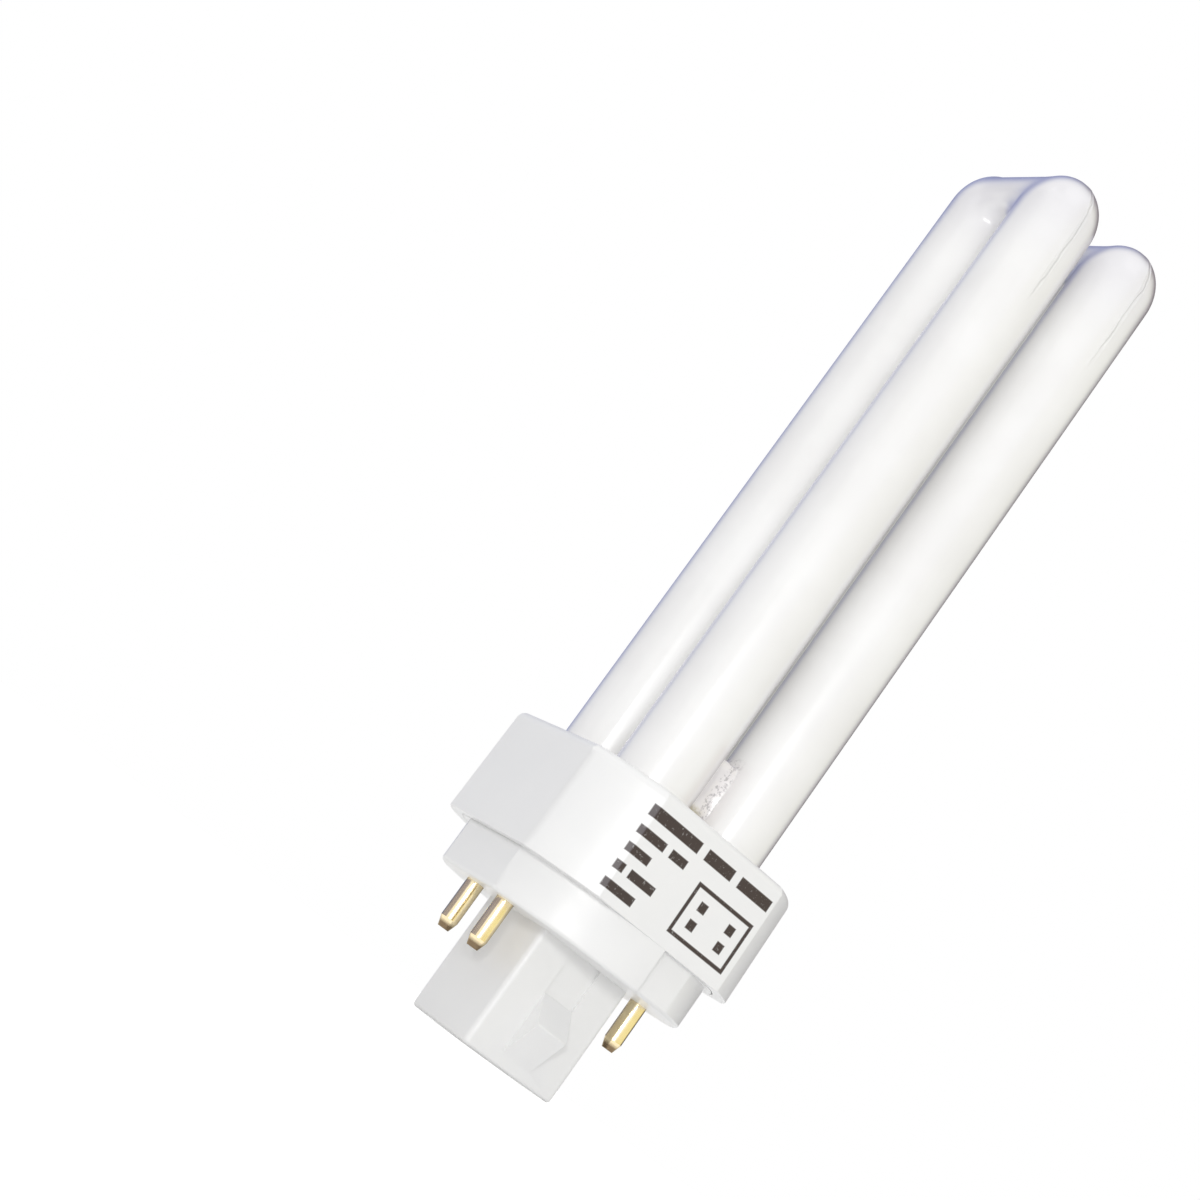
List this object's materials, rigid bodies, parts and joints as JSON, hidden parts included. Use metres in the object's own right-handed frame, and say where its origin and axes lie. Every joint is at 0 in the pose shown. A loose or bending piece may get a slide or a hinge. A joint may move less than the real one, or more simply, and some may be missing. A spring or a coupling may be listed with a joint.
{
  "type": "compact fluorescent lamp",
  "caption": "Plug-in fluorescent lamp with parallel glass legs bent at the top, a moulded white collar, and a cap with a keyed plinth, brass contact pins and a latching square post.",
  "frame": {"origin": "centre of the flat end of the post", "axes": "+Z along the lamp from the post's end towards the tops of the glass legs, +X across the two rows of pins, the collar's front faces -Y"},
  "size_m": [0.0362, 0.0352, 0.131],
  "materials": {
    "coated_glass": "gloss, opaque white coating inside",
    "white_plastic": "satin gloss",
    "cement": "matt, grainy",
    "pin_brass": "polished",
    "plated_wire": "drawn",
    "sleeve": "braided glass fibre"
  },
  "bodies": {
    "root": {"discharge_tube": "coated_glass", "collar": "white_plastic", "base_cap": "white_plastic", "cement_ring_front": "cement", "cement_ring_right": "cement", "cement_ring_back": "cement", "cement_ring_left": "cement", "contact_pin_1": "pin_brass", "contact_pin_2": "pin_brass", "contact_pin_3": "pin_brass", "contact_pin_4": "pin_brass", "lead_wire_1": "plated_wire", "lead_wire_2": "plated_wire", "lead_wire_3": "plated_wire", "lead_wire_4": "plated_wire", "wire_sleeve_1": "sleeve", "wire_sleeve_2": "sleeve", "wire_sleeve_3": "sleeve", "wire_sleeve_4": "sleeve"}
  },
  "joints": []
}
